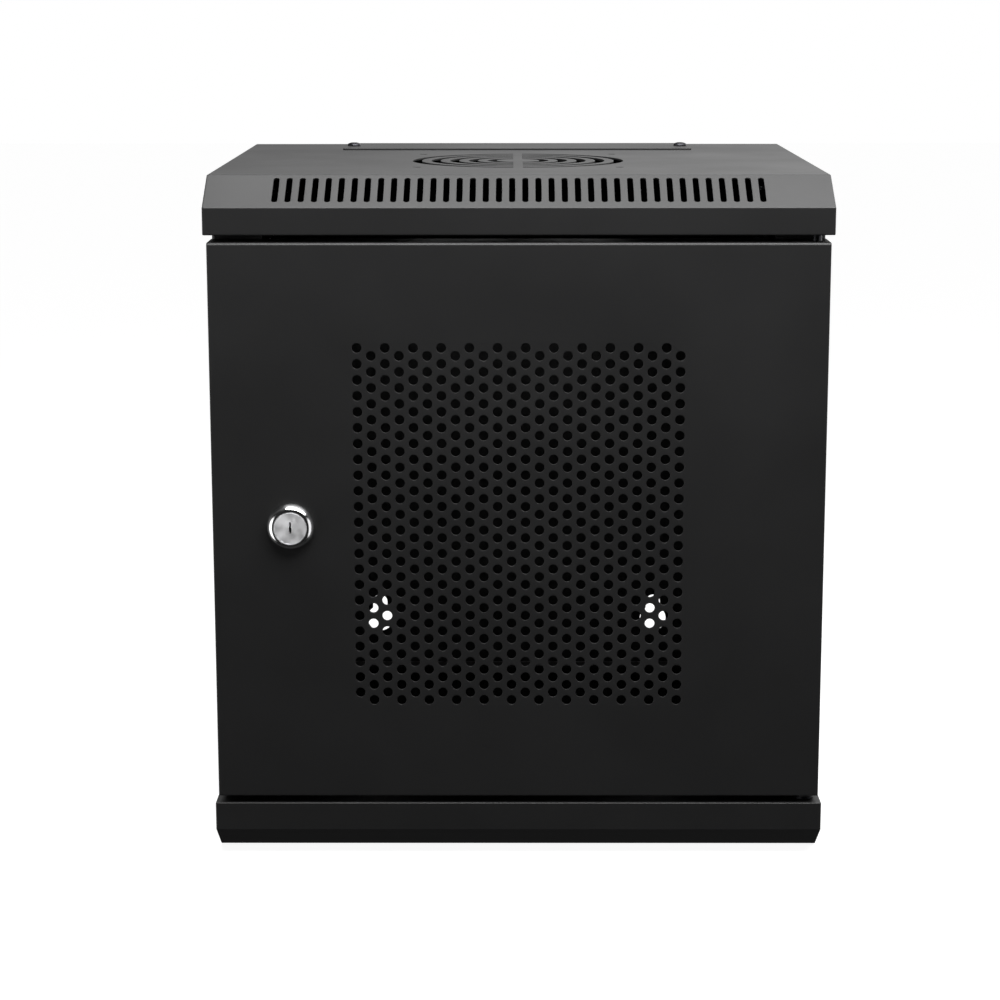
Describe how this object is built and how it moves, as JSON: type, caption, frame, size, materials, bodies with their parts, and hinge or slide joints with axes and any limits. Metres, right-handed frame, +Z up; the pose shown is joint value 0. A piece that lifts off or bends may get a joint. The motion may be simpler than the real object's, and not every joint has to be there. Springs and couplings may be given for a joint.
{
  "type": "wall network cabinet",
  "caption": "Small black steel wall cabinet for ten-inch rack equipment, with a perforated lockable door, sloping slotted top edge, fan grille and keyholes for wall fixing.",
  "frame": {"origin": "middle of the cabinet's footprint, on the underside of the base", "axes": "+X to the right seen from the front, +Y to the back (the wall), +Z up"},
  "size_m": [0.31, 0.285, 0.3494],
  "materials": {
    "powder_coat": "fine matt black powder coat",
    "inner_coat": "fine matt black powder coat",
    "black_screw": "black zinc, satin",
    "zinc_plate": "bright zinc plate",
    "satin_chrome": "satin chrome",
    "plug_face": "satin nickel, turned face",
    "rubber": "matt black",
    "knob_plastic": "matt black",
    "nylon": "black nylon",
    "brass": "plain"
  },
  "bodies": {
    "carcass": {"top_cover": "powder_coat", "bottom_cover": "powder_coat", "left_side_panel": "powder_coat", "right_side_panel": "powder_coat", "back_panel": "powder_coat", "cover_screws": "zinc_plate", "cover_nuts": "zinc_plate", "back_studs": "zinc_plate", "back_nuts": "zinc_plate", "top_entry_plate": "powder_coat", "top_entry_screws": "black_screw", "top_entry_nuts": "zinc_plate", "bottom_entry_plate": "powder_coat", "bottom_entry_screws": "zinc_plate", "upper_left_support": "inner_coat", "upper_right_support": "inner_coat", "lower_left_support": "inner_coat", "lower_right_support": "inner_coat", "support_rivets": "zinc_plate", "door_bumpers": "rubber", "lower_hinge_pin": "black_screw", "hinge_washer": "nylon", "earth_stud": "brass", "earth_washer": "zinc_plate", "earth_nut": "zinc_plate"},
    "door": {"door_shell": "powder_coat", "upper_hinge_bracket": "inner_coat", "lower_hinge_bracket": "inner_coat", "lock_housing": "satin_chrome", "lock_nut": "zinc_plate", "pin_spring": "zinc_plate"},
    "hinge_pin": {"upper_hinge_pin": "black_screw", "pin_collar": "zinc_plate", "pin_knob": "knob_plastic"},
    "lock": {"lock_plug": "plug_face", "lock_cam": "zinc_plate", "cam_washer": "zinc_plate", "cam_screw": "zinc_plate"},
    "rail_left": {"left_rail": "inner_coat", "left_rail_screws": "zinc_plate", "left_rail_nuts": "zinc_plate"},
    "rail_right": {"right_rail": "inner_coat", "right_rail_screws": "zinc_plate", "right_rail_nuts": "zinc_plate"}
  },
  "joints": [
    {"name": "door_hinge", "type": "hinge", "parent": "carcass", "child": "door", "pos_m": [0.147, -0.13, 0], "axis": [0, 0, 1], "range_deg": [0, 180]},
    {"name": "lock_turn", "type": "hinge", "parent": "door", "child": "lock", "pos_m": [-0.114, -0.14, 0.17335], "axis": [0, 1, 0], "range_deg": [0, 90]},
    {"name": "hinge_pin_pull", "type": "slide", "parent": "door", "child": "hinge_pin", "axis": [0, 0, -1], "range_m": [0, 0.0055], "stiffness_N_per_m": 900, "springref_m": -0.004, "deforming": ["pin_spring"]},
    {"name": "left_rail_slide", "type": "slide", "parent": "carcass", "child": "rail_left", "axis": [0, 1, 0], "range_m": [0, 0.15]},
    {"name": "right_rail_slide", "type": "slide", "parent": "carcass", "child": "rail_right", "axis": [0, 1, 0], "range_m": [0, 0.15]}
  ]
}
